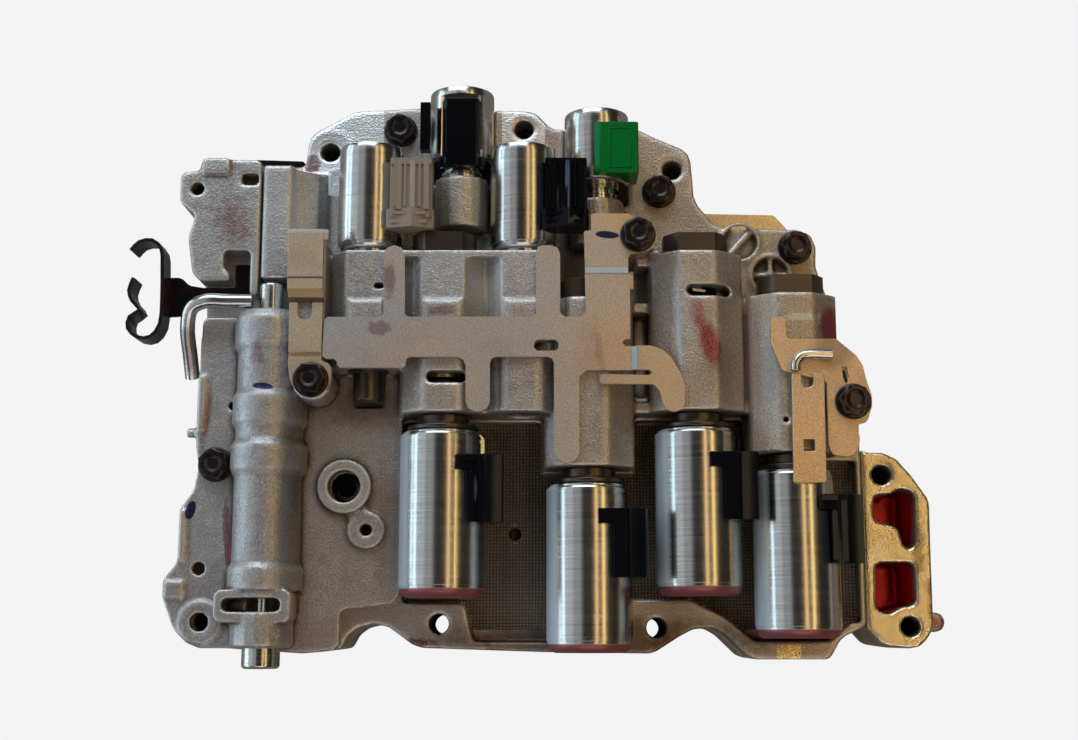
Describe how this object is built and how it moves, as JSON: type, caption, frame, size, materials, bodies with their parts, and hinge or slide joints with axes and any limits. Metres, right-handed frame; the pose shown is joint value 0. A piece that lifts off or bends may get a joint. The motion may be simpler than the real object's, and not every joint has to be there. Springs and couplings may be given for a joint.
{
  "type": "transmission valve body",
  "caption": "Hydraulic control unit: stacked castings with bored valve bosses, cylindrical solenoids held by a sheet-metal plate, a manual valve and bolted ears.",
  "frame": {"origin": "near the middle of the rear mating face, on the face", "axes": "+X to the right seen from the solenoid side, +Y along the valve bores towards the small solenoids, +Z away from the mating face"},
  "size_m": [0.2806, 0.1985, 0.0675],
  "materials": {
    "cast_aluminium": "die-cast, sand-grained skin",
    "machined_aluminium": "machined and sheet metal",
    "bright_steel": "drawn and turned, bright",
    "retainer_steel": "plated sheet steel",
    "oxide_steel": "black oxide",
    "spring_steel": "drawn wire",
    "brassy_spool": "turned and ground",
    "black_plastic": "moulded",
    "grey_plastic": "moulded",
    "green_plastic": "moulded"
  },
  "bodies": {
    "body": {"bolt_1": "oxide_steel", "bolt_2": "oxide_steel", "bolt_3": "oxide_steel", "bolt_4": "oxide_steel", "bolt_5": "oxide_steel", "bolt_6": "oxide_steel", "bolt_7": "oxide_steel", "front_casting": "cast_aluminium", "front_separator_plate": "machined_aluminium", "harness_clip": "oxide_steel", "left_clamp_bracket": "retainer_steel", "lube_tube": "bright_steel", "manual_bore_plug": "bright_steel", "middle_casting": "cast_aluminium", "plug_1": "oxide_steel", "plug_2": "oxide_steel", "plug_3": "oxide_steel", "plug_4": "oxide_steel", "plug_a": "oxide_steel", "plug_c": "oxide_steel", "rear_casting": "cast_aluminium", "rear_separator_plate": "machined_aluminium", "retainer_wire_pin": "bright_steel", "right_bracket": "retainer_steel", "solenoid_1_can": "bright_steel", "solenoid_1_connector": "black_plastic", "solenoid_1_sleeve": "oxide_steel", "solenoid_2_can": "bright_steel", "solenoid_2_connector": "black_plastic", "solenoid_2_sleeve": "oxide_steel", "solenoid_3_can": "bright_steel", "solenoid_3_connector": "black_plastic", "solenoid_3_sleeve": "oxide_steel", "solenoid_4_can": "bright_steel", "solenoid_4_connector": "black_plastic", "solenoid_4_sleeve": "oxide_steel", "solenoid_a_can": "bright_steel", "solenoid_a_connector": "grey_plastic", "solenoid_b_can": "bright_steel", "solenoid_b_connector": "black_plastic", "solenoid_c_can": "bright_steel", "solenoid_c_connector": "black_plastic", "solenoid_d_can": "bright_steel", "solenoid_d_connector": "green_plastic", "solenoid_retainer_plate": "retainer_steel", "spring_1": "spring_steel", "spring_2": "spring_steel", "spring_3": "spring_steel", "spring_4": "spring_steel", "spring_a": "spring_steel", "spring_c": "spring_steel", "strip_plate": "retainer_steel", "upper_left_casting": "cast_aluminium"},
    "manual_valve": {"manual_valve": "brassy_spool"},
    "spool_1": {"spool_1": "brassy_spool"},
    "spool_2": {"spool_2": "brassy_spool"},
    "spool_3": {"spool_3": "brassy_spool"},
    "spool_4": {"spool_4": "brassy_spool"},
    "spool_a": {"spool_a": "brassy_spool"},
    "spool_c": {"spool_c": "brassy_spool"}
  },
  "joints": [
    {"name": "manual_valve_slide", "type": "slide", "parent": "body", "child": "manual_valve", "axis": [0, -1, 0], "range_m": [0, 0.021]},
    {"name": "spool_1_slide", "type": "slide", "parent": "body", "child": "spool_1", "axis": [0, 1, 0], "range_m": [0, 0.004], "stiffness_N_per_m": 400, "springref_m": -0.004, "deforming": ["spring_1"]},
    {"name": "spool_2_slide", "type": "slide", "parent": "body", "child": "spool_2", "axis": [0, 1, 0], "range_m": [0, 0.004], "stiffness_N_per_m": 400, "springref_m": -0.004, "deforming": ["spring_2"]},
    {"name": "spool_3_slide", "type": "slide", "parent": "body", "child": "spool_3", "axis": [0, 1, 0], "range_m": [0, 0.004], "stiffness_N_per_m": 400, "springref_m": -0.004, "deforming": ["spring_3"]},
    {"name": "spool_4_slide", "type": "slide", "parent": "body", "child": "spool_4", "axis": [0, 1, 0], "range_m": [0, 0.004], "stiffness_N_per_m": 400, "springref_m": -0.004, "deforming": ["spring_4"]},
    {"name": "spool_a_slide", "type": "slide", "parent": "body", "child": "spool_a", "axis": [0, -1, 0], "range_m": [0, 0.004], "stiffness_N_per_m": 400, "springref_m": -0.004, "deforming": ["spring_a"]},
    {"name": "spool_c_slide", "type": "slide", "parent": "body", "child": "spool_c", "axis": [0, -1, 0], "range_m": [0, 0.004], "stiffness_N_per_m": 400, "springref_m": -0.004, "deforming": ["spring_c"]}
  ]
}
